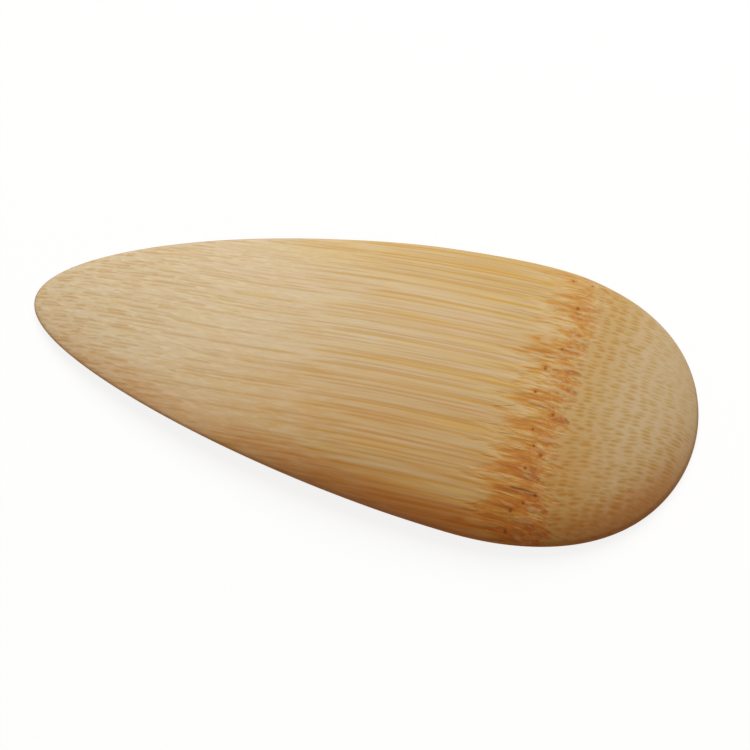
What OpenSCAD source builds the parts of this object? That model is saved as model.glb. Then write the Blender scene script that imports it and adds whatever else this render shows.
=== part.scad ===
// A scoop spoon carved in one piece from thick bamboo culm, lying turned over on its rim.
// X runs along the grain from the handle tip to the lip, and Z points out of the convex back.
// The origin is on the resting surface, under the middle of the spoon.

/* [Overall] */
// Length from the handle tip to the lip
length = 100; // [80:1:140]
// Width across the bowl at its widest
width = 44; // [34:1:56]
// Height of the back above the surface that the rim rests on
height = 9.5; // [8:0.1:13]

/* [Outline] */
// Where the spoon is widest, from the handle tip, as a share of the length
widest_share = 0.73; // [0.65:0.01:0.8]
// How much slimmer than half an ellipse the handle side runs
handle_taper_share = 0.39; // [0:0.01:0.6]
// How much fuller than half an ellipse the lip side runs
lip_fullness_share = 0.25; // [0:0.01:0.5]

/* [Back] */
// Where the back stands highest, from the handle tip, as a share of the length
crest_share = 0.6; // [0.5:0.01:0.68]
// Fall of the back from its middle line to the sides, where the spoon is widest
camber = 3.6; // [2:0.1:4.4]
// Height that the back rolls down through at its edge, round the bowl
back_roll = 3; // [2:0.1:4]
// Height that it rolls down through at its edge, beside the handle tip
tip_roll = 0.8; // [0.4:0.1:2]
// Where the edge's roll starts to grow towards the bowl's, as a share of the length
roll_start_share = 0.3; // [0.1:0.01:0.45]
// Distance in from the edge where the back starts to roll down
roll_reach = 6.5; // [4:0.5:10]

/* [Bowl] */
// Thickness of the wall over the middle of the bowl
wall = 2.6; // [2:0.1:3.2]
// Depth of the rim's rounded underside, below the line where the spoon is widest
rim_under = 1; // [0.8:0.1:1.6]
// Distance in from the edge over which the rim's underside rounds
rim_round = 1.5; // [1:0.1:2.5]
// Distance over which the bowl deepens from its rim to the full depth
bowl_reach = 6.5; // [4:0.5:10]

/* [Growth node] */
// Middle of the growth node's band, from the handle tip, as a share of the length
node_share = 0.79; // [0.7:0.005:0.85]
// Length of the band along the grain
node_length = 10; // [6:0.5:14]
// Height of the low ridge that the growth node leaves across the back
node_swell = 0.25; // [0.05:0.05:0.6]

/* [Hidden] */

// Pitch of the points along half a section, and of the sections along each stretch of the grain
section_steps = 22;
handle_steps = 40;
band_steps = 8;
lip_steps = 24;

// How steeply the back falls towards the tip and towards the lip, and the handle side's taper
tip_fall_power = 2;
lip_fall_power = 3;
taper_power = 1.5;

// Trial points under each end of the rim, and rounds of trials, that find where the ends touch down
seat_steps = 24;
seat_rounds = 4;

half_width = width / 2;
band_start_share = node_share - node_length / length / 2;
band_end_share = node_share + node_length / length / 2;

// A share kept from 0 to 1
function kept(share) = min(1, max(0, share));

// A quarter of a circle as a share: steep at 0 and level at 1
function rounded(share) = sqrt(1 - pow(1 - kept(share), 2));

// A smooth step as a share: level at 0 and at 1
function eased(share) = (1 - cos(180 * kept(share))) / 2;

// How far the share t of the length lies from the widest place, towards the tip or the lip
function to_tip(t) = kept((widest_share - t) / widest_share);
function to_lip(t) = kept((t - widest_share) / (1 - widest_share));

// Square of the half width at t
function half_sq(t) =
    let (v = to_tip(t), u = to_lip(t))
    pow(half_width, 2) * (1 - v * v) * (1 - handle_taper_share * pow(v, taper_power))
        * (1 - u * u) * (1 + lip_fullness_share * u * u);

// Change of that square along the length at t
function half_sq_slope(t) =
    let (v = to_tip(t), u = to_lip(t), k = handle_taper_share, m = lip_fullness_share, p = taper_power)
    t < widest_share
        ? pow(half_width, 2) / (widest_share * length)
            * (2 * v * (1 - k * pow(v, p)) + (1 - v * v) * k * p * pow(v, p - 1))
        : pow(half_width, 2) / ((1 - widest_share) * length)
            * (2 * u * m * (1 - u * u) - 2 * u * (1 + m * u * u));

// Distance in from the outline at t and y
function edge_distance(t, y) =
    let (q = half_sq(t), slope = half_sq_slope(t))
    max(0, q - y * y) / (2 * sqrt(q + pow(slope / 2, 2)));

// Lowest height under one end of the rim, when the back's middle line has fallen by fall at that end
function end_low(fall, run_share, power, end) =
    min([for (i = [1 : seat_steps])
        let (x = 2 * rim_round * i / seat_steps)
        height - fall * pow(1 - x / (run_share * length), power) - back_roll
            - rim_under * rounded(edge_distance(abs(end - x / length), 0) / rim_round)]);

// The fall at which that end just touches the resting surface
function seated_fall(fall, run_share, power, end, rounds) =
    rounds <= 0
        ? fall
        : seated_fall(fall + end_low(fall, run_share, power, end), run_share, power, end, rounds - 1);

tip_fall = seated_fall(height - back_roll, crest_share, tip_fall_power, 0, seat_rounds);
lip_fall = seated_fall(height - back_roll, 1 - crest_share, lip_fall_power, 1, seat_rounds);

// Height of the back's middle line from the crest to the lip, carried on smoothly to the tip
function crest_z(t) =
    let (a = kept((crest_share - t) / crest_share), b = kept((t - crest_share) / (1 - crest_share)))
    height - tip_fall * pow(a, tip_fall_power) - lip_fall * pow(b, lip_fall_power);

// Height of the surface that holds the outline, carried on over the whole spoon
function outline_z(t, y) = crest_z(t) - camber * pow(y / half_width, 2) - back_roll;

// Height that the back rolls down through, which is full from the crest to the lip
function roll(t) =
    tip_roll + (back_roll - tip_roll) * eased((t - roll_start_share) / (crest_share - roll_start_share));

// How far the bowl's surface rises from the rim's underside to leave the wall
function bowl_rise(t) = max(0, roll(t) + rim_under - wall);

// The growth node's low ridge, level with the back at both ends of its band
function ridge(t) = node_swell * eased(1 - abs(t - node_share) * 2 * length / node_length);

function back_z(t, y) =
    let (inward = rounded(edge_distance(t, y) / roll_reach))
    outline_z(t, y) + (roll(t) + ridge(t)) * inward;

function bowl_z(t, y) =
    let (d = edge_distance(t, y))
    outline_z(t, y) - rim_under * rounded(d / rim_round) + bowl_rise(t) * eased((d - rim_round) / bowl_reach);

// One section across the grain: over the back from edge to edge, then back along the bowl
function section(t) =
    let (w = sqrt(max(0, half_sq(t))), x = (t - 1 / 2) * length)
    [for (i = [0 : 2 * section_steps - 1])
        let (y = -w * cos(180 * i / section_steps))
        [x, y, i <= section_steps ? back_z(t, y) : bowl_z(t, y)]];

// Skin between neighbouring sections, each of n points
function skin(first, count, n) =
    [for (k = [0 : count - 2], i = [0 : n - 1], half = [0, 1])
        let (a = first + k * n + i, b = first + k * n + (i + 1) % n)
        half == 0 ? [a, b, b + n] : [a, b + n, a + n]];

// Flat end across one section, in strips from the back to the bowl
function flat_end(first, n, faces_tip) =
    [for (i = [0 : n / 2 - 1], half = [0, 1])
        let (a = first + i, b = first + i + 1, c = first + (n - i - 1) % n, d = first + (n - i) % n)
        let (face = half == 0 ? [a, c, b] : [a, d, c])
        if (face[0] != face[1] && face[1] != face[2] && face[2] != face[0])
        faces_tip ? face : [face[2], face[1], face[0]]];

// A stretch of the spoon through the sections at the shares given, closed to a point at the tip or the lip
module carved(shares) {
    n = 2 * section_steps;
    at_tip = shares[0] == 0;
    at_lip = shares[len(shares) - 1] == 1;
    open_shares = [for (t = shares) if (t > 0 && t < 1) t];
    count = len(open_shares);
    rings = [for (t = open_shares) each section(t)];
    tip = [-length / 2, 0, outline_z(0, 0)];
    lip = [length / 2, 0, outline_z(1, 0)];
    last = (count - 1) * n;
    tip_faces = at_tip
        ? [for (i = [0 : n - 1]) [count * n, (i + 1) % n, i]]
        : flat_end(0, n, true);
    lip_faces = at_lip
        ? [for (i = [0 : n - 1]) [count * n + 1, last + i, last + (i + 1) % n]]
        : flat_end(last, n, false);
    polyhedron([each rings, tip, lip], [each skin(0, count, n), each tip_faces, each lip_faces]);
}

module handle_internode() {
    color([0.86, 0.72, 0.50])
        carved([for (i = [0 : handle_steps]) band_start_share * (1 - cos(90 * i / handle_steps))]);
}

module node_band() {
    color([0.77, 0.51, 0.25])
        carved([for (i = [0 : band_steps])
            band_start_share + (band_end_share - band_start_share) * i / band_steps]);
}

module lip_internode() {
    color([0.80, 0.65, 0.43])
        carved([for (i = [0 : lip_steps])
            i == lip_steps ? 1 : band_end_share + (1 - band_end_share) * sin(90 * i / lip_steps)]);
}

handle_internode();
node_band();
lip_internode();
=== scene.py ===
"""A bamboo scoop spoon, lying back upward on its rim: its form, material, floor, light and camera.

All shapes are worked out in millimetres in the frame's own axes, and turned into metres where a mesh
is made. X runs along the grain from the handle tip to the lip, and Z points out of the convex back.
"""
import math

import bpy
import numpy as np
from mathutils import Matrix, Vector


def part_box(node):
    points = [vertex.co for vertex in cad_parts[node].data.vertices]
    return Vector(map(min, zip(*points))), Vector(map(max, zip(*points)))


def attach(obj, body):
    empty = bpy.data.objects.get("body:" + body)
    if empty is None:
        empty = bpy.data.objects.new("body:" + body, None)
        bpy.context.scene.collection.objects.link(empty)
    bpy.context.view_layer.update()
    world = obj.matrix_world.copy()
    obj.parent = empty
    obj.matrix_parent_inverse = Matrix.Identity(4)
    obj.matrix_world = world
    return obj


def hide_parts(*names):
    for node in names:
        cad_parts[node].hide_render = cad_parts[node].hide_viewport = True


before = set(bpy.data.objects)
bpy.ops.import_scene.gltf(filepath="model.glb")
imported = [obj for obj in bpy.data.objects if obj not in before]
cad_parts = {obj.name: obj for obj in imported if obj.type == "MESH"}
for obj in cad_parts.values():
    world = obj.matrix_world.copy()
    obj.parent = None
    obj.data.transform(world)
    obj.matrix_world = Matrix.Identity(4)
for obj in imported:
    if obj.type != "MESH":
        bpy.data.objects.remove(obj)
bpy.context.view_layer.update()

MM = 0.001
SEED = 20
NODES = ("handle_internode", "node_band", "lip_internode")


# ---------------------------------------------------------------- sizes, in millimetres

def box_mm(node):
    """Lowest and highest corner of a solid of the frame."""
    low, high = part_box(node)
    return [c / MM for c in low], [c / MM for c in high]


def whole_mm():
    """Size of the whole spoon along each axis."""
    low = [min(box_mm(n)[0][k] for n in NODES) for k in range(3)]
    high = [max(box_mm(n)[1][k] for n in NODES) for k in range(3)]
    return [high[k] - low[k] for k in range(3)]


LENGTH, WIDTH, HEIGHT = whole_mm()
BAND_START = box_mm("node_band")[0][0]
BAND_END = box_mm("node_band")[1][0]
HALF_WIDTH = WIDTH / 2

# The spoon's form, as its solids have it
WIDEST_SHARE = 0.73
HANDLE_TAPER = 0.39
TAPER_POWER = 1.5
LIP_FULLNESS = 0.25
CREST_SHARE = 0.6
TIP_FALL_POWER = 2
LIP_FALL_POWER = 3
CAMBER = 3.6
BACK_ROLL = 3
TIP_ROLL = 0.8
ROLL_START_SHARE = 0.3
ROLL_REACH = 6.5
WALL = 2.6
RIM_UNDER = 1
RIM_ROUND = 1.5
BOWL_REACH = 6.5
NODE_SHARE = 0.79
NODE_LENGTH = 10
NODE_SWELL = 0.25
SEAT_STEPS = 24
SEAT_ROUNDS = 4

# Points round a section, and sections along each stretch
BACK_STEPS = 250
BOWL_STEPS = 110
HANDLE_RINGS = 170
BAND_RINGS = 50
LIP_RINGS = 70


# ---------------------------------------------------------------- the carved surfaces

def kept(share):
    """A share kept from 0 to 1."""
    return np.clip(share, 0, 1)


def rounded(share):
    """A quarter of a circle as a share: steep at 0 and level at 1."""
    return np.sqrt(1 - (1 - kept(share)) ** 2)


def eased(share):
    """A smooth step as a share: level at 0 and at 1."""
    return (1 - np.cos(np.pi * kept(share))) / 2


def to_tip(t):
    """How far the share t of the length lies from the widest place, towards the tip."""
    return kept((WIDEST_SHARE - t) / WIDEST_SHARE)


def to_lip(t):
    """The same towards the lip."""
    return kept((t - WIDEST_SHARE) / (1 - WIDEST_SHARE))


def half_sq(t):
    """Square of the half width at the share t of the length."""
    v, u = to_tip(t), to_lip(t)
    tip_side = (1 - v * v) * (1 - HANDLE_TAPER * v ** TAPER_POWER)
    return HALF_WIDTH ** 2 * tip_side * (1 - u * u) * (1 + LIP_FULLNESS * u * u)


def half_sq_slope(t):
    """Change of that square along the length."""
    v, u, k, m, p = to_tip(t), to_lip(t), HANDLE_TAPER, LIP_FULLNESS, TAPER_POWER
    tip_side = 2 * v * (1 - k * v ** p) + (1 - v * v) * k * p * v ** (p - 1)
    lip_side = 2 * u * m * (1 - u * u) - 2 * u * (1 + m * u * u)
    near_tip = tip_side / (WIDEST_SHARE * LENGTH)
    near_lip = lip_side / ((1 - WIDEST_SHARE) * LENGTH)
    return HALF_WIDTH ** 2 * np.where(t < WIDEST_SHARE, near_tip, near_lip)


def edge_distance(t, y):
    """Distance in from the outline. The tiny last term keeps a division by zero out."""
    q = half_sq(t)
    return np.maximum(0, q - y * y) / (2 * np.sqrt(q + (half_sq_slope(t) / 2) ** 2) + 1e-9)


def seated_fall(run_share, power, end):
    """The back's fall at one end, at which that end of the rim just touches the floor."""
    x = 2 * RIM_ROUND * np.arange(1, SEAT_STEPS + 1) / SEAT_STEPS
    under = RIM_UNDER * rounded(edge_distance(np.abs(end - x / LENGTH), 0 * x) / RIM_ROUND)
    fall = HEIGHT - BACK_ROLL
    for _ in range(SEAT_ROUNDS):
        line = HEIGHT - fall * (1 - x / (run_share * LENGTH)) ** power - BACK_ROLL
        fall = fall + np.min(line - under)
    return fall


TIP_FALL = seated_fall(CREST_SHARE, TIP_FALL_POWER, 0)
LIP_FALL = seated_fall(1 - CREST_SHARE, LIP_FALL_POWER, 1)


def outline_z(t, y):
    """Height of the surface that holds the outline, carried on over the whole spoon."""
    a = kept((CREST_SHARE - t) / CREST_SHARE)
    b = kept((t - CREST_SHARE) / (1 - CREST_SHARE))
    crest = HEIGHT - TIP_FALL * a ** TIP_FALL_POWER - LIP_FALL * b ** LIP_FALL_POWER
    return crest - CAMBER * (y / HALF_WIDTH) ** 2 - BACK_ROLL


def ridge(t):
    """Height of the growth node's low ridge."""
    return NODE_SWELL * eased(1 - np.abs(t - NODE_SHARE) * 2 * LENGTH / NODE_LENGTH)


def roll(t):
    """Height that the back rolls down through at its edge."""
    to_crest = (t - ROLL_START_SHARE) / (CREST_SHARE - ROLL_START_SHARE)
    return TIP_ROLL + (BACK_ROLL - TIP_ROLL) * eased(to_crest)


def back_z(t, y):
    """Height of the back."""
    inward = rounded(edge_distance(t, y) / ROLL_REACH)
    return outline_z(t, y) + (roll(t) + ridge(t)) * inward


def bowl_z(t, y):
    """Height of the underside: the rim's rounding, and the hollow inside it."""
    d = edge_distance(t, y)
    rise = np.maximum(0, roll(t) + RIM_UNDER - WALL)
    return outline_z(t, y) - RIM_UNDER * rounded(d / RIM_ROUND) + rise * eased((d - RIM_ROUND) / BOWL_REACH)


# ---------------------------------------------------------------- relief of the back

# Vessel scars in the growth node: x, y and radius
PITS = (
    (28.2, 18.6, 0.32), (30.9, 18.8, 0.22), (30.3, 13.3, 0.34), (30.2, 5.8, 0.32), (28.9, 2.1, 0.36),
    (28.6, -1.8, 0.30), (31.7, -4.3, 0.34), (29.8, -7.1, 0.28), (30.5, -9.3, 0.27), (31.7, -10.3, 0.38),
    (30.3, -12.6, 0.30), (32.4, -15.5, 0.38), (31.2, -16.9, 0.33), (29.8, -18.2, 0.36), (29.7, -20.5, 0.36),
)
PIT_DEPTH = 0.09
PIT_STEEPNESS = 1.6
# Height of the raised ring round a pit, and its place and spread in radii of the pit
PIT_RIM = 0.02
PIT_RIM_PLACE = 1.5
PIT_RIM_SPREAD = 0.5
# Start and end of the thin dark scratch
SCRATCH = ((28.9, -15.5), (32.2, -15.3))

# Waves of the turned fibres in the growth node: their depth, their pitch along and across the grain,
# and the pitch and share of the finer waves among them
WAVE_DEPTH = 0.05
WAVE_PITCH = (2.6, 1.1)
FINE_WAVE_PITCH = (1.3, 0.7)
FINE_WAVE_SHARE = 0.5
# The same for the low lines of the fibres all over the back
FIBRE_DEPTH = 0.008
FIBRE_PITCH = (14, 0.9)
FINE_FIBRE_PITCH = (7, 0.6)
FINE_FIBRE_SHARE = 0.6
# How far before each end of the band the waves start to come or go, and the distance that it takes them
WAVES_COME = (1, 4)
WAVES_GO = (0.8, 1.6)
# Distance in from the edge over which all relief comes up
RELIEF_EDGE = 1.2

GRAIN_TURN = math.radians(1.7)
# From SWEEP_START towards the handle tip the grain also leans to the near side. SWEEP_SLOPE is the slope
# that it nears, and over SWEEP_EASE it comes three quarters of the way there.
SWEEP_START = 6.0
SWEEP_EASE = 8.0
SWEEP_SLOPE = 0.04


class Field:
    """Smooth random values over the plane, from a seeded grid of the pitch given."""

    def __init__(self, seed, pitch_x, pitch_y):
        self.pitch = (pitch_x, pitch_y)
        self.cells = (int(LENGTH / pitch_x) + 8, int(WIDTH / pitch_y) + 8)
        self.values = np.random.default_rng(seed).uniform(-1, 1, self.cells)

    def at(self, x, y):
        i = x / self.pitch[0] + self.cells[0] / 2
        j = y / self.pitch[1] + self.cells[1] / 2
        i0 = np.clip(np.floor(i).astype(int), 0, self.cells[0] - 2)
        j0 = np.clip(np.floor(j).astype(int), 0, self.cells[1] - 2)
        fi, fj = eased(i - i0), eased(j - j0)
        v = self.values
        near = v[i0, j0] * (1 - fj) + v[i0, j0 + 1] * fj
        far = v[i0 + 1, j0] * (1 - fj) + v[i0 + 1, j0 + 1] * fj
        return near * (1 - fi) + far * fi


def layered(seed, coarse, fine, fine_share, along, across):
    """A coarse random field, with a share of a finer one."""
    total = Field(seed, *coarse).at(along, across)
    return total + fine_share * Field(seed + 1, *fine).at(along, across)


def passed(x, place, before, reach):
    """0 up to the given distance before the place, rising smoothly to 1 over the reach."""
    return eased((x - place + before) / reach)


def relief(x, y, edge):
    """Small heights added to the back: waves in the growth node, low fibre lines all over, and pits."""
    along = x * math.cos(GRAIN_TURN) + y * math.sin(GRAIN_TURN)
    across = y * math.cos(GRAIN_TURN) - x * math.sin(GRAIN_TURN)
    waves = layered(SEED, WAVE_PITCH, FINE_WAVE_PITCH, FINE_WAVE_SHARE, along, across)
    lines = layered(SEED + 2, FIBRE_PITCH, FINE_FIBRE_PITCH, FINE_FIBRE_SHARE, along, across)
    in_band = passed(x, BAND_START, *WAVES_COME) * (1 - passed(x, BAND_END, *WAVES_GO))
    height = WAVE_DEPTH * waves * in_band + FIBRE_DEPTH * lines
    for px, py, radius in PITS:
        r = np.hypot(x - px, y - py) / radius
        height = height - PIT_DEPTH * np.exp(-r ** 2 * PIT_STEEPNESS)
        height = height + PIT_RIM * np.exp(-((r - PIT_RIM_PLACE) / PIT_RIM_SPREAD) ** 2)
    return height * eased(edge / RELIEF_EDGE)


# ---------------------------------------------------------------- meshes

def ring(t):
    """One section across the grain: over the back from edge to edge, then back along the bowl.

    Each point has x, y, z, its distance in from the edge, and 1 on the bowl's side or 0 on the back.
    """
    x = (t - 0.5) * LENGTH
    w = math.sqrt(max(0, float(half_sq(np.array(t)))))
    y_back = -w * np.cos(np.pi * np.arange(BACK_STEPS + 1) / BACK_STEPS)
    y_bowl = w * np.cos(np.pi * np.arange(1, BOWL_STEPS) / BOWL_STEPS)
    e_back = edge_distance(t, y_back)
    z_back = back_z(t, y_back) + relief(np.full_like(y_back, x), y_back, e_back)
    back = np.column_stack([np.full_like(y_back, x), y_back, z_back, e_back, 0 * y_back])
    bowl = np.column_stack([np.full_like(y_bowl, x), y_bowl, bowl_z(t, y_bowl), edge_distance(t, y_bowl),
                            1 + 0 * y_bowl])
    return np.vstack([back, bowl])


def ring_shares():
    """Shares of the length that have a section, from next to the tip to next to the lip."""
    start = BAND_START / LENGTH + 0.5
    end = BAND_END / LENGTH + 0.5
    handle = [start * (1 - math.cos(math.pi / 2 * i / HANDLE_RINGS)) for i in range(1, HANDLE_RINGS)]
    band = [start + (end - start) * i / BAND_RINGS for i in range(BAND_RINGS)]
    lip = [end + (1 - end) * math.sin(math.pi / 2 * i / LIP_RINGS) for i in range(LIP_RINGS)]
    return handle + band + lip


N = BACK_STEPS + BOWL_STEPS
RINGS = [ring(t) for t in ring_shares()]
# The points at both ends, with the same five values
TIP = np.array([-LENGTH / 2, 0, float(outline_z(0, 0)), 0, 0])
LIP = np.array([LENGTH / 2, 0, float(outline_z(1, 0)), 0, 0])


def skin(count):
    """Quads between neighbouring sections, numbered from the first of them."""
    k = np.repeat(np.arange(count - 1), N)
    i = np.tile(np.arange(N), count - 1)
    j = (i + 1) % N
    return np.column_stack([k * N + i, k * N + j, (k + 1) * N + j, (k + 1) * N + i])


def smooth_normals():
    """Normals of the whole unbroken spoon, so that its three stretches shade as one surface."""
    points = np.vstack(RINGS)[:, :3]
    quads = skin(len(RINGS))
    a, b, c, d = (points[quads[:, k]] for k in range(4))
    face = np.cross(c - a, d - b)
    total = np.zeros_like(points)
    for k in range(4):
        np.add.at(total, quads[:, k], face)
    return total / (np.linalg.norm(total, axis=1, keepdims=True) + 1e-12)


NORMALS = smooth_normals()


def closing_faces(count, at_tip, at_lip):
    """Faces that close a stretch of count sections, and the directions of its flat ends, which come last.

    At the tip or the lip a fan runs to that end's point, which is numbered after the sections.
    """
    point = count * N
    tail = (count - 1) * N
    faces = []
    flat = []
    if at_tip:
        faces += [[point, (i + 1) % N, i] for i in range(N)]
    if at_lip:
        faces += [[point, tail + i, tail + (i + 1) % N] for i in range(N)]
    if not at_tip:
        faces.append(list(range(N))[::-1])
        flat.append((-1, 0, 0))
    if not at_lip:
        faces.append([tail + i for i in range(N)])
        flat.append((1, 0, 0))
    return faces, flat


def set_normals(mesh, normals, flat):
    """Shade by the points' normals, but the flat ends, whose corners are the mesh's last, by their own."""
    of_corner = np.zeros(len(mesh.loops), int)
    mesh.loops.foreach_get("vertex_index", of_corner)
    corner_normals = normals[of_corner]
    for k, direction in enumerate(flat):
        start = len(of_corner) - N * (len(flat) - k)
        corner_normals[start:start + N] = direction
    mesh.normals_split_custom_set(corner_normals.tolist())


def stretch_mesh(name, first, last, at_tip=False, at_lip=False):
    """A closed mesh through the sections first to last, ending in a point at the tip or at the lip."""
    rows = np.vstack(RINGS[first:last + 1])
    normals = NORMALS[first * N:(last + 1) * N]
    if at_tip:
        rows = np.vstack([rows, TIP])
        normals = np.vstack([normals, [-1, 0, 0]])
    if at_lip:
        rows = np.vstack([rows, LIP])
        normals = np.vstack([normals, [1, 0, 0]])
    count = last - first + 1
    closing, flat = closing_faces(count, at_tip, at_lip)
    mesh = bpy.data.meshes.new(name)
    mesh.from_pydata((rows[:, :3] * MM).tolist(), [], skin(count).tolist() + closing)
    mesh.shade_smooth()
    for key, column in (("edge_mm", 3), ("bowl_side", 4)):
        values = rows[:, column].astype(np.float32)
        mesh.attributes.new(key, "FLOAT", "POINT").data.foreach_set("value", values)
    set_normals(mesh, normals, flat)
    return mesh


# ---------------------------------------------------------------- materials

def srgb(red, green, blue):
    """A colour written as 0 to 255 display values, as the shader's own numbers."""
    out = []
    for c in (red, green, blue):
        c = c / 255
        out.append(c / 12.92 if c <= 0.04045 else ((c + 0.055) / 1.055) ** 2.4)
    return (*out, 1)


# Ground of the handle side, with strips and wisps of other colours, and of the hollow
PALE = srgb(220, 199, 162)
WARM = srgb(213, 178, 122)
GOLDEN = srgb(214, 176, 112)
YELLOW = srgb(219, 184, 106)
PINK = srgb(219, 188, 156)
WISP = srgb(231, 213, 179)
BOWL_GROUND = srgb(218, 196, 156)

# Bundles of the handle side
STREAK = srgb(187, 134, 50)
STREAK_GOLD = srgb(200, 150, 52)
STREAK_PALE = srgb(200, 163, 107)

# Ground and bundles of the lip side
LIP_GROUND = srgb(202, 176, 137)
LIP_BY_NODE = srgb(199, 165, 108)
FLECK = srgb(181, 147, 68)
FLECK_BY_NODE = srgb(183, 124, 36)

# The growth node
NODE_PALE = srgb(215, 185, 135)
NODE_YELLOW = srgb(203, 156, 72)
NODE_ORANGE = srgb(193, 120, 26)
NODE_BROWN = srgb(161, 93, 25)
PIT_BROWN = srgb(112, 64, 28)
MOTTLE = srgb(206, 170, 136)

# Tints, which the wood's own colour is multiplied by
TOWARD_NODE = (0.89, 0.88, 0.81, 1)
# Painted warm shade of the near flank
NEAR_FLANK_SHADE = (0.90, 0.70, 0.44, 1)
SUNNED = (0.98, 0.94, 0.78, 1)
# Painted warm shade of the near side's rolled edge, and a painted dark line round the rim
ROLLED_EDGE_SHADE = (0.88, 0.56, 0.33, 1)
RIM_SHADE_LINE = (0.70, 0.54, 0.36, 1)

GLOSS = 0.30
ROUGHNESS = 0.45

# Pitch and radius of the bundles on the handle side, and where their noise starts
BUNDLE_PITCH = 0.54
BUNDLE_RADIUS = 0.165
BUNDLE_SHIFT = 2.0
# The same of the lip side's flecks
FLECK_PITCH = 0.60
FLECK_RADIUS = 0.185
FLECK_SHIFT = 7.0
# Where the flecks start to fan out, how fast they fan and lean, and how steeply the surface cuts them
FLECKS_FROM = 34.0
FLECK_FAN = 0.012
FLECK_LEAN = 0.12
FLECK_CUT = 0.33
# How far the back has cut down through the bundles at the tip, and the share of its growing roll that they
# follow
TIP_CUT = 4.4
ROLL_FOLLOWED = 0.8

# Places along the grain between which the growth node's looks come and go
STAIN_STARTS = (23.2, 27.4)
STAIN_ENDS = (32.6, 33.8)
BAND_PASSED = (31.5, 33.6)
LIP_STARTS = (31.6, 32.8)
TURN_STARTS = (23.5, 29.0)
TURN_ENDS = (33.6, 35.2)
MOTTLE_STARTS = (28.6, 31.6)
MOTTLE_ENDS = (33.2, 34.6)

# Places along the grain between which the handle side's looks change
NEARS_NODE = (-5.0, 25.0)
DEEPENS = (-10.0, 20.0)
WISPS_COME = (5.0, -25.0)
STREAKS_DARKEN = (-24.0, 4.0)
DRIFT_LENGTHENS = (-26.0, -10.0)
JOGS_COME = (-6.0, -24.0)


class Nodes:
    """Short ways to add and join shader nodes."""

    def __init__(self, material):
        material.use_nodes = True
        self.tree = material.node_tree
        self.tree.nodes.clear()

    def add(self, kind, inputs=None, **settings):
        node = self.tree.nodes.new(kind)
        for key, value in settings.items():
            setattr(node, key, value)
        for key, value in (inputs or {}).items():
            self.put(node.inputs[key], value)
        return node

    def put(self, socket, value):
        if isinstance(value, bpy.types.NodeSocket):
            self.tree.links.new(value, socket)
        else:
            socket.default_value = value

    def math(self, operation, a, b=0.0, c=0.0):
        return self.add("ShaderNodeMath", {0: a, 1: b, 2: c}, operation=operation).outputs[0]

    def sum(self, *parts):
        total = parts[0]
        for part in parts[1:]:
            total = self.math("ADD", total, part)
        return total

    def times(self, *parts):
        total = parts[0]
        for part in parts[1:]:
            total = self.math("MULTIPLY", total, part)
        return total

    def invert(self, a):
        return self.math("SUBTRACT", 1.0, a)

    def step(self, value, low, high):
        """0 at low and 1 at high, smoothly."""
        inputs = {"Value": value, "From Min": low, "From Max": high}
        return self.add("ShaderNodeMapRange", inputs, interpolation_type="SMOOTHSTEP").outputs[0]

    def between(self, value, start, end):
        """1 between the two steps, each given as a pair, and 0 outside them."""
        return self.times(self.step(value, *start), self.invert(self.step(value, *end)))

    def less(self, where, share):
        """1, and less by the share given where the mask says."""
        return self.math("MULTIPLY_ADD", where, -share, 1.0)

    def ragged(self, value, noise, reach):
        """The value, moved by the noise, through the reach given in all."""
        return self.math("MULTIPLY_ADD", noise, reach, self.math("ADD", value, -reach / 2))

    def point(self, x, y, z=0.0):
        return self.add("ShaderNodeCombineXYZ", {0: x, 1: y, 2: z}).outputs[0]

    def noise(self, x, y, z, scale, detail, roughness, shift):
        """Noise of about 0 to 1. Each scale is the size of a feature along that axis, in millimetres."""
        place = self.point(self.math("MULTIPLY_ADD", x, 1 / scale[0], shift), self.times(y, 1 / scale[1]),
                           self.times(z, 1 / scale[2]))
        inputs = {"Vector": place, "Scale": 1.0, "Detail": detail, "Roughness": roughness}
        return self.add("ShaderNodeTexNoise", inputs, noise_dimensions="3D").outputs[0]

    def mix(self, factor, a, b):
        """The value a where the factor is 0, and b where it is 1."""
        return self.add("ShaderNodeMix", {0: factor, 2: a, 3: b}, data_type="FLOAT").outputs[0]

    def blend(self, factor, a, b, kind="MIX"):
        """The same for colours. Their sockets are numbers 6 and 7, and their result is number 2."""
        node = self.add("ShaderNodeMix", data_type="RGBA", blend_type=kind)
        self.put(node.inputs[0], factor)
        self.put(node.inputs[6], a)
        self.put(node.inputs[7], b)
        return node.outputs[2]

    def tint(self, where, colour, by):
        """The colour, multiplied by the tint where the mask says."""
        return self.blend(where, colour, self.blend(1.0, colour, by, "MULTIPLY"))


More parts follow.
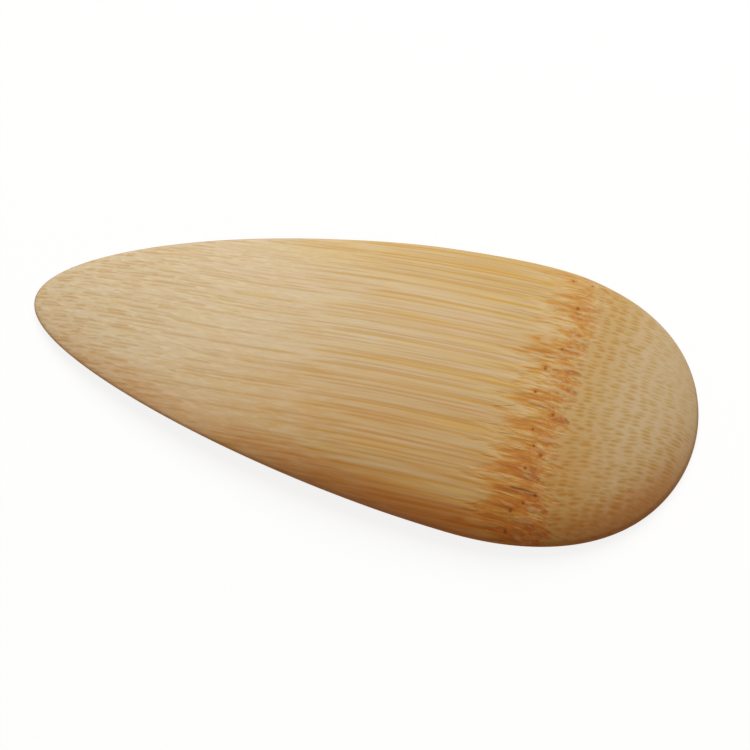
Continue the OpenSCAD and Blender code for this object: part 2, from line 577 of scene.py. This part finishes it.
class Bamboo(Nodes):
    """Bamboo as its own structure gives it: dark bundles that run along the grain through a pale ground.

    The surface cuts the bundles, so they show as long streaks where it runs with the grain, and as short
    flecks where it falls away towards the tip and the lip. u, v and h are along, across and out of the
    grain. A mask is 1 where a thing is and 0 elsewhere.
    """

    def __init__(self, material, has_lip):
        super().__init__(material)
        self.has_lip = has_lip
        where = self.add("ShaderNodeTexCoord").outputs["Object"]
        in_mm = self.add("ShaderNodeVectorMath", {0: where, "Scale": 1 / MM}, operation="SCALE").outputs[0]
        axes = self.add("ShaderNodeSeparateXYZ", {0: in_mm}).outputs
        self.x, self.y = axes[0], axes[1]
        cos = math.cos(GRAIN_TURN)
        sin = math.sin(GRAIN_TURN)
        self.u = self.sum(self.times(self.x, cos), self.times(self.y, sin))
        self.v = self.sum(self.times(self.y, cos), self.times(self.x, -sin), self.sweep())
        bend = self.times(self.y, self.y, CAMBER / HALF_WIDTH ** 2)
        self.h = self.sum(axes[2], bend)
        self.edge = self.add("ShaderNodeAttribute", attribute_name="edge_mm").outputs["Fac"]
        self.bowl = self.add("ShaderNodeAttribute", attribute_name="bowl_side").outputs["Fac"]

    def sweep(self):
        """How far the grain has leaned to the near side."""
        past = self.math("MAXIMUM", self.math("MULTIPLY_ADD", self.x, -1.0, SWEEP_START), 0.0)
        slope = self.math("DIVIDE", -SWEEP_SLOPE, self.math("ADD", past, SWEEP_EASE))
        return self.times(past, past, slope)

    def grainy(self, scale, shift, roughness=0.6):
        """Noise that follows the grain, with finer noise in it."""
        return self.noise(self.u, self.v, self.h, scale, 2.0, roughness, shift)

    def smooth(self, scale, shift):
        """Plainer noise that follows the grain."""
        return self.noise(self.u, self.v, self.h, scale, 1.0, 0.5, shift)

    def zones(self):
        """Where the growth node stains the wood, how far its fibres turn, and where the lip side starts."""
        near = self.ragged(self.x, self.grainy((9, 1.3, 3), 3.0, 0.55), 16.0)
        bowed = self.math("MULTIPLY_ADD", self.step(self.y, -8.0, -20.0), -1.5, self.x)
        wander = self.noise(self.x, self.y, 0.0, (4, 1.8, 1), 2.0, 0.6, 11.0)
        self.far = self.ragged(bowed, wander, 4.0)
        ends = self.noise(self.x, self.v, self.h, (6, 0.9, 2), 2.0, 0.6, 15.0)
        last = self.ragged(self.far, ends, 7.0)
        self.past = self.step(last, *BAND_PASSED)
        self.lip = self.step(last, *LIP_STARTS)
        ended = self.step(last, *STAIN_ENDS)
        far_side = self.less(self.step(self.y, 12.0, 20.0), 0.35)
        self.stain = self.times(self.step(near, *STAIN_STARTS), self.invert(ended), far_side)
        self.turned = self.between(self.x, TURN_STARTS, TURN_ENDS)

    def follow_back(self):
        """Heights that undo most of the back's fall and of its roll, because the bundles bend with it."""
        run_length = CREST_SHARE * LENGTH
        crest_x = (CREST_SHARE - 0.5) * LENGTH
        roll_start_x = (ROLL_START_SHARE - 0.5) * LENGTH
        run = self.math("MULTIPLY_ADD", self.x, -1 / run_length, crest_x / run_length)
        run = self.math("MAXIMUM", run, 0.0)
        rise = self.times(run, run, self.math("MULTIPLY_ADD", run, -TIP_CUT, TIP_FALL))
        growth = ROLL_FOLLOWED * (BACK_ROLL - TIP_ROLL)
        rolled = self.times(self.step(self.x, crest_x, roll_start_x), growth)
        return rise, rolled

    def bundles(self, pitch, radius, shift):
        """Mask of the vascular bundles, and a random tone for each of them."""
        drift_v = self.smooth((40, 9, 9), shift)
        short_drift = self.smooth((13, 0.7, 1.0), shift + 5)
        long_drift = self.smooth((22, 1.3, 1.4), shift + 3)
        drift_h = self.mix(self.step(self.x, *DRIFT_LENGTHENS), short_drift, long_drift)
        kink_v = self.smooth((2.4, 1.2, 1.2), shift + 9)
        kink_h = self.smooth((2.0, 1.0, 1.0), shift + 13)
        jog = self.times(self.smooth((3.2, 0.7, 0.7), shift + 17), self.step(self.x, *JOGS_COME), 1.25)
        rise, rolled = self.follow_back()
        v = self.sum(self.v, drift_v, self.times(kink_v, self.turned, 0.7))
        h = self.sum(self.h, rise, rolled, self.times(drift_h, 0.6), jog,
                     self.times(kink_h, self.turned, 0.6))
        place = self.point(self.times(v, 1 / pitch), self.times(h, 0.8 / pitch))
        return self.cells(place, pitch, radius, soft=0.11, randomness=0.9, spread=0.6)

    def flecks(self, pitch, radius, shift):
        """The same on the lip side, where the bundles bend up through the surface as staggered flecks."""
        drift_v = self.smooth((6, 3, 3), shift)
        drift_h = self.smooth((5, 2.5, 2), shift + 5)
        past_node = self.math("ADD", self.u, -FLECKS_FROM)
        fan = self.times(self.v, self.math("MULTIPLY_ADD", past_node, FLECK_FAN, 1.0))
        v = self.sum(fan, self.times(past_node, -FLECK_LEAN), self.times(drift_v, 0.9))
        h = self.sum(self.times(self.u, -FLECK_CUT), self.times(drift_h, 0.6))
        place = self.point(self.times(v, 1 / pitch), self.times(h, 1 / pitch))
        return self.cells(place, pitch, radius, soft=0.12, randomness=0.5, spread=0.25)

    def cells(self, place, pitch, radius, soft, randomness, spread):
        """Mask of round spots, one to a cell, and a tone for each, by which its radius spreads too."""
        inputs = {"Vector": place, "Scale": 1.0, "Randomness": randomness}
        cell = self.add("ShaderNodeTexVoronoi", inputs, voronoi_dimensions="2D")
        tone = self.add("ShaderNodeSeparateColor", {0: cell.outputs["Color"]}).outputs[0]
        size = self.math("MULTIPLY_ADD", tone, spread, 1 - spread / 2)
        outer = self.times(size, (radius + soft) / pitch)
        inner = self.times(size, (radius - soft) / pitch)
        return self.step(cell.outputs["Distance"], outer, inner), tone

    def ground(self):
        """The pale tissue between the bundles: paler deep in the culm, warmer near its skin."""
        broad = self.grainy((45, 3.2, 3.2), 21.0, 0.55)
        fine = self.grainy((12, 0.55, 0.6), 25.0)
        depth = self.step(self.h, 5.0, 9.4)
        near_node = self.step(self.x, *NEARS_NODE)
        warm = self.sum(self.times(broad, 1.4), self.times(fine, 0.8), self.times(depth, 0.2),
                        self.times(near_node, 0.25))
        warmest = self.blend(near_node, WARM, GOLDEN)
        colour = self.blend(self.step(warm, 1.06, 1.98), PALE, warmest)
        colour = self.tint(self.step(self.x, *DEEPENS), colour, TOWARD_NODE)
        strip = self.grainy((30, 1.0, 1.0), 23.0)
        tinted = self.math("MULTIPLY_ADD", near_node, 0.6, 0.4)
        colour = self.blend(self.times(self.step(strip, 0.50, 0.68), tinted, 0.7), colour, YELLOW)
        colour = self.blend(self.times(self.step(strip, 0.48, 0.32), tinted, 0.5), colour, PINK)
        wisp = self.step(self.grainy((5, 0.5, 0.4), 27.0), 0.48, 0.66)
        colour = self.blend(self.times(wisp, self.step(self.x, *WISPS_COME), 0.7), colour, WISP)
        colour = self.blend(self.lip, colour, self.lip_ground())
        return self.blend(self.times(self.bowl, 0.6), colour, BOWL_GROUND)

    def lip_ground(self):
        """The ground past the growth node, with the faint grain of fibres that are cut across."""
        colour = self.blend(self.step(self.far, 34.5, 42.0), LIP_BY_NODE, LIP_GROUND)
        grain = self.step(self.smooth((0.9, 0.35, 0.5), 29.0), 0.40, 0.70)
        return self.blend(self.times(grain, 0.22), colour, FLECK)

    def fibres(self, colour):
        """Bundles over the ground: streaks on the handle side, and flecks on the lip side."""
        mask, tone = self.bundles(BUNDLE_PITCH, BUNDLE_RADIUS, BUNDLE_SHIFT)
        if self.has_lip:
            lip_mask, lip_tone = self.flecks(FLECK_PITCH, FLECK_RADIUS, FLECK_SHIFT)
            mask = self.mix(self.lip, mask, lip_mask)
            tone = self.mix(self.lip, tone, lip_tone)
        self.fibre = self.times(mask, self.fibre_strength(tone))
        return self.blend(self.fibre, colour, self.fibre_colour(tone))

    def fibre_colour(self, tone):
        """Pale by the tip, orange-brown by the node, and olive on the lip side."""
        streak = self.blend(self.step(tone, 0.3, 0.7), STREAK, STREAK_GOLD)
        dark = self.blend(self.step(self.x, *STREAKS_DARKEN), STREAK_PALE, streak)
        dark = self.blend(self.lip, dark, FLECK)
        by_node = self.times(self.lip, self.invert(self.step(self.far, 34.5, 39.5)))
        dark = self.blend(self.times(by_node, 0.7), dark, FLECK_BY_NODE)
        return self.blend(self.times(self.lip, tone, 0.35), dark, FLECK_BY_NODE)

    def fibre_strength(self, tone):
        """How strongly a bundle shows.

        It is less at the lip's far corner, by its rim, and a little on the handle's side of the middle.
        """
        corner = self.times(self.step(self.x, 38.0, 46.0), self.step(self.y, -6.0, 12.0))
        rim = self.times(self.lip, self.step(self.edge, 2.0, 0.4))
        thin = self.less(self.math("MAXIMUM", corner, rim), 0.6)
        dip = self.times(self.step(self.x, -36.0, -24.0), self.step(self.x, 8.0, -4.0))
        handle_side = self.math("MULTIPLY_ADD", dip, -0.16, 0.93)
        thin = self.times(thin, self.mix(self.lip, handle_side, 1.0))
        even = self.mix(self.lip, 0.36, 0.50)
        return self.times(self.math("MULTIPLY_ADD", tone, self.mix(self.lip, 0.5, 0.32), even), thin)

    def stain_level(self):
        """How dark the growth node's stain is: pale at about 0.8 and brown from about 1.2."""
        patch = self.smooth((7.0, 1.3, 2.5), 31.0)
        streak = self.grainy((5.0, 0.45, 0.9), 37.0, 0.65)
        kink = self.grainy((1.8, 0.32, 0.6), 39.0)
        speck = self.noise(self.x, self.y, self.h, (0.55, 0.40, 0.5), 2.0, 0.6, 43.0)
        inner = self.times(self.step(self.far, 28.5, 31.0), 0.28)
        core = self.sum(self.times(self.step(self.x, 23.5, 29.5), 0.08),
                        self.times(self.step(self.far, 28.8, 30.8), 0.05))
        near_side = self.times(self.step(self.y, 2.0, -14.0), 0.065)
        off_middle = self.math("ABSOLUTE", self.math("ADD", self.y, 1.5))
        middle = self.times(self.step(off_middle, 6.5, 2.0), self.step(self.far, 27.0, 30.0), 0.07)
        return self.sum(self.times(patch, 0.80), self.times(streak, 0.70), self.times(kink, 0.40), core,
                        near_side, middle, self.times(self.math("ADD", speck, -0.5), inner),
                        self.math("MULTIPLY_ADD", self.past, -0.10, -0.11))

    def cracks(self):
        """Mask of the growth node's thin dark lines."""
        off_line = self.math("ABSOLUTE", self.math("SUBTRACT", self.smooth((4.5, 0.55, 1.2), 61.0), 0.5))
        part = self.step(self.smooth((3.0, 1.2, 2), 67.0), 0.44, 0.56)
        return self.times(self.step(off_line, 0.022, 0.004), part)

    def node_stain(self, colour):
        """The growth node: stained, turned fibres from pale yellow to brown."""
        self.level = self.stain_level()
        self.lens = self.step(self.smooth((3.6, 0.95, 1.5), 47.0), 0.52, 0.66)
        stained = self.blend(self.step(self.level, 0.78, 0.93), NODE_PALE, NODE_YELLOW)
        stained = self.blend(self.times(self.step(self.level, 0.88, 1.06), 0.95), stained, NODE_ORANGE)
        stained = self.blend(self.times(self.step(self.level, 1.04, 1.20), 0.8), stained, NODE_BROWN)
        # Pale lens patches on the raised fibres: partly their own paler colour, partly a painted highlight
        stained = self.blend(self.times(self.lens, 0.5), stained, NODE_PALE)
        stained = self.blend(self.times(self.cracks(), 0.45), stained, NODE_BROWN)
        flecked = self.less(self.times(self.fibre, self.lip), 0.9)
        return self.blend(self.times(self.stain, 0.9, flecked), colour, stained)

    def node_edge(self, colour):
        """Fine pinkish mottling along the band's far side, where the fibres close up."""
        speck = self.noise(self.x, self.y, self.h, (0.7, 0.4, 0.5), 2.0, 0.6, 41.0)
        line = self.between(self.far, MOTTLE_STARTS, MOTTLE_ENDS)
        colour = self.blend(self.times(line, self.step(speck, 0.50, 0.66), 0.45), colour, MOTTLE)
        return self.blend(self.times(line, self.step(speck, 0.44, 0.32), 0.30), colour, NODE_BROWN)

    def pits(self, colour):
        """Dark floors of the small pits, each in an orange ring."""
        place = self.point(self.x, self.y)
        nearest = 9.0
        for px, py, radius in PITS:
            inputs = {0: place, 1: (px, py, 0)}
            away = self.add("ShaderNodeVectorMath", inputs, operation="DISTANCE").outputs["Value"]
            nearest = self.math("MINIMUM", self.times(away, 1 / radius), nearest)
        uneven = self.noise(self.x, self.y, 0.0, (0.5, 0.4, 1), 1.0, 0.5, 71.0)
        nearest = self.ragged(nearest, uneven, 0.9)
        self.pit = self.step(nearest, 1.0, 0.3)
        halo = self.times(self.step(nearest, 2.4, 0.9), 0.45)
        colour = self.blend(halo, colour, NODE_ORANGE)
        return self.blend(self.times(self.pit, 0.7), colour, PIT_BROWN)

    def scratched(self, colour):
        """The thin dark scratch, tapered at both ends."""
        (x0, y0), (x1, y1) = SCRATCH
        along = self.between(self.x, (x0 - 0.2, x0 + 0.6), (x1 - 0.6, x1 + 0.2))
        slope = (y1 - y0) / (x1 - x0)
        line_y = self.math("MULTIPLY_ADD", self.x, slope, y0 - x0 * slope)
        away = self.math("ABSOLUTE", self.math("SUBTRACT", self.y, line_y))
        self.scratch = self.times(self.step(away, 0.22, 0.05), along)
        return self.blend(self.times(self.scratch, 0.75), colour, PIT_BROWN)

    def flanks(self, colour):
        """The near flank of the culm strip is painted warm shade, browner in streaks; the far flank is
        yellower.
        """
        streaky = self.step(self.grainy((14, 0.5, 0.6), 83.0), 0.36, 0.62)
        near = self.times(self.step(self.y, 1.0, -16.5), self.step(self.x, -40.0, 5.0),
                          self.math("MULTIPLY_ADD", streaky, 0.5, 0.5))
        far = self.times(self.step(self.y, 9.5, 15.0), self.step(self.x, -24.0, -6.0),
                         self.invert(self.step(self.x, 15.0, 27.0)))
        return self.tint(far, self.tint(near, colour, NEAR_FLANK_SHADE), SUNNED)

    def painted_edge_shade(self, colour):
        """Painted shade: browner still on the near side's rolled edge, and a thin dark line round the whole
        rim.
        """
        by_tip = self.times(self.step(self.x, -52.0, -42.0), self.step(self.x, -12.0, -30.0), 0.35)
        edge = self.times(self.step(self.edge, 4.2, 0.8), self.sum(self.step(self.x, -45.0, 22.0), by_tip))
        lip_end = self.sum(self.times(self.step(self.x, 22.0, 32.0), -0.65),
                           self.times(self.step(self.x, 34.0, 42.0), 0.45), 1.0)
        side = self.times(self.step(self.y, 6.0, -12.0), lip_end)
        colour = self.tint(self.times(edge, side), colour, ROLLED_EDGE_SHADE)
        return self.tint(self.times(self.step(self.edge, 0.4, 0.05), 0.8), colour, RIM_SHADE_LINE)

    def bump(self, fine, pitted):
        """Low bumps, in millimetres: fine lines, sunk bundles, the node's fibres and the scratch."""
        height = self.sum(self.times(fine, 0.012), self.times(self.fibre, -0.012),
                          self.times(self.level, self.stain, -0.07),
                          self.times(self.lens, self.stain, 0.07))
        if pitted:
            height = self.sum(height, self.times(self.scratch, -0.06))
        inputs = {"Height": height, "Distance": MM, "Strength": 1.0}
        return self.add("ShaderNodeBump", inputs).outputs[0]

    def roughness(self, fine, pitted):
        """Rougher on bundles, on cut ends towards the lip, along the rolled edge and in pits."""
        cut_ends = self.step(self.x, 16.0, 27.0)
        rolled = self.step(self.edge, 4.0, 0.3)
        rough = self.sum(ROUGHNESS, self.times(self.fibre, 0.06), self.times(fine, 0.10),
                         self.times(cut_ends, 0.16), self.times(rolled, 0.14))
        if pitted:
            rough = self.sum(rough, self.times(self.pit, 0.2))
        return rough

    def finish(self, colour, pitted):
        """Fine lines over all, and the shader itself."""
        fine = self.grainy((5, 0.16, 0.16), 51.0)
        colour = self.blend(self.times(self.step(fine, 0.35, 0.75), 0.10), colour, STREAK)
        inputs = {"Base Color": colour, "Roughness": self.roughness(fine, pitted),
                  "Normal": self.bump(fine, pitted), "Specular IOR Level": GLOSS}
        shader = self.add("ShaderNodeBsdfPrincipled", inputs)
        self.add("ShaderNodeOutputMaterial", {"Surface": shader.outputs[0]})


def bamboo(name, has_lip=True, pitted=False):
    """The material of one stretch: the same wood in each, less what never shows in that stretch."""
    material = bpy.data.materials.new(name)
    wood = Bamboo(material, has_lip)
    wood.zones()
    colour = wood.fibres(wood.ground())
    colour = wood.node_edge(wood.node_stain(colour))
    if pitted:
        colour = wood.scratched(wood.pits(colour))
    wood.finish(wood.painted_edge_shade(wood.flanks(colour)), pitted)
    return material


# ---------------------------------------------------------------- the spoon

def wood_piece(name, node, slot, material, **span):
    """One stretch of the spoon, which stands for one solid."""
    piece = bpy.data.objects.new(name, stretch_mesh(name, **span))
    bpy.context.scene.collection.objects.link(piece)
    piece.data.materials.append(material)
    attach(piece, "root")
    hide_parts(node)


def build_spoon():
    band_first = HANDLE_RINGS - 1
    lip_first = band_first + BAND_RINGS
    wood_piece("handle_internode_wood", "handle_internode", "handle_bamboo",
               bamboo("bamboo_handle_side", has_lip=False), first=0, last=band_first, at_tip=True)
    wood_piece("node_band_wood", "node_band", "node_bamboo",
               bamboo("bamboo_growth_node", pitted=True), first=band_first, last=lip_first)
    wood_piece("lip_internode_wood", "lip_internode", "lip_bamboo",
               bamboo("bamboo_lip_side"), first=lip_first, last=len(RINGS) - 1, at_lip=True)


# ---------------------------------------------------------------- floor, light and camera

WHITE = (1, 1, 1, 1)

# The floor's half width, and the distances from the middle of the spoon where its shading starts to fade
# and where it ends, in metres
FLOOR_HALF = 6
FLOOR_FULL = 0.13
FLOOR_END = 0.30
# The share of the floor's look that takes light and shadow, its colour for that, its colour for the light
# that it throws back at the spoon, and the strength of its plain white
FLOOR_SHADED = 0.18
FLOOR_LIT = (0.95, 0.95, 0.95, 1)
FLOOR_GREY = (0.62, 0.62, 0.62, 1)
FLOOR_GLOW = 1.04

# Fill light from all round
FILL_COLOUR = (1.0, 0.90, 0.78, 1)
FILL_STRENGTH = 0.27

# The lamp: its place, the point that it is turned to, and its two sides, in metres, and its power in watts
LAMP_PLACE = (0.0, 0.53, 0.80)
LAMP_TARGET = (0.0, 0.0, 0.0)
LAMP_SIDES = (0.9, 0.9)
LAMP_POWER = 8.3

# The camera's axes in the frame, and its place, sensor and lens, in millimetres
CAMERA_RIGHT = (0.93972, 0.32134, -0.11687)
CAMERA_DOWN = (0.22006, -0.82996, -0.51259)
CAMERA_FORWARD = (-0.26172, 0.45597, -0.85064)
CAMERA_PLACE = (67.46, -110.48, 206.11)
CAMERA_SENSOR = 36
CAMERA_LENS = 81.6


def seen_directly(nodes):
    """1 for rays from the camera, and for those that it sees in gloss or through glass."""
    path = nodes.add("ShaderNodeLightPath").outputs
    total = nodes.sum(path["Is Camera Ray"], path["Is Glossy Ray"], path["Is Transmission Ray"])
    return nodes.math("MINIMUM", total, 1.0)


def floor_material():
    """White with the spoon's own faint shadow, and plain white from FLOOR_END on."""
    material = bpy.data.materials.new("floor_white")
    nodes = Nodes(material)
    where = nodes.add("ShaderNodeTexCoord").outputs["Object"]
    away = nodes.add("ShaderNodeVectorMath", {0: where}, operation="LENGTH").outputs["Value"]
    shaded = nodes.times(nodes.step(away, FLOOR_END, FLOOR_FULL), FLOOR_SHADED)
    grey = nodes.add("ShaderNodeBsdfDiffuse", {"Color": FLOOR_GREY}).outputs[0]
    lit = nodes.add("ShaderNodeBsdfDiffuse", {"Color": FLOOR_LIT}).outputs[0]
    white = nodes.add("ShaderNodeEmission", {"Color": WHITE, "Strength": FLOOR_GLOW}).outputs[0]
    shown = nodes.add("ShaderNodeMixShader", {0: shaded, 1: white, 2: lit}).outputs[0]
    surface = nodes.add("ShaderNodeMixShader", {0: seen_directly(nodes), 1: grey, 2: shown}).outputs[0]
    nodes.add("ShaderNodeOutputMaterial", {"Surface": surface})
    return material


def build_floor():
    half = FLOOR_HALF
    mesh = bpy.data.meshes.new("floor")
    corners = [(-half, -half, 0), (half, -half, 0), (half, half, 0), (-half, half, 0)]
    mesh.from_pydata(corners, [], [(0, 1, 2, 3)])
    mesh.materials.append(floor_material())
    floor = bpy.data.objects.new("floor", mesh)
    bpy.context.scene.collection.objects.link(floor)


def build_world():
    """Warm fill light on the spoon, and plain white behind it."""
    world = bpy.data.worlds.new("studio")
    bpy.context.scene.world = world
    nodes = Nodes(world)
    fill = nodes.add("ShaderNodeBackground", {"Color": FILL_COLOUR, "Strength": FILL_STRENGTH}).outputs[0]
    white = nodes.add("ShaderNodeBackground", {"Color": WHITE, "Strength": 1.0}).outputs[0]
    surface = nodes.add("ShaderNodeMixShader", {0: seen_directly(nodes), 1: fill, 2: white}).outputs[0]
    nodes.add("ShaderNodeOutputWorld", {"Surface": surface})


def aim(thing, place, target):
    """Put a thing in its place, turned towards the target."""
    thing.location = place
    thing.rotation_euler = (Vector(target) - Vector(place)).to_track_quat("-Z", "Y").to_euler()


def build_light(name, place, target, size, power):
    """A large soft lamp."""
    lamp = bpy.data.lights.new(name, "AREA")
    lamp.shape = "RECTANGLE"
    lamp.size, lamp.size_y = size
    lamp.energy = power
    light = bpy.data.objects.new(name, lamp)
    bpy.context.scene.collection.objects.link(light)
    aim(light, place, target)


def build_camera():
    """The photograph's viewing angle."""
    data = bpy.data.cameras.new("camera")
    data.sensor_width = CAMERA_SENSOR
    data.lens = CAMERA_LENS
    data.clip_start = 0.01
    data.clip_end = 20
    camera = bpy.data.objects.new("camera", data)
    bpy.context.scene.collection.objects.link(camera)
    right = Vector(CAMERA_RIGHT)
    down = Vector(CAMERA_DOWN)
    forward = Vector(CAMERA_FORWARD)
    matrix = Matrix((right, -down, -forward)).transposed().to_4x4()
    matrix.translation = Vector(CAMERA_PLACE) * MM
    camera.matrix_world = matrix
    bpy.context.scene.camera = camera


def build_studio():
    build_floor()
    build_world()
    build_light("soft_top", LAMP_PLACE, LAMP_TARGET, LAMP_SIDES, LAMP_POWER)
    build_camera()
    bpy.context.scene.view_settings.view_transform = "Standard"


build_spoon()
build_studio()
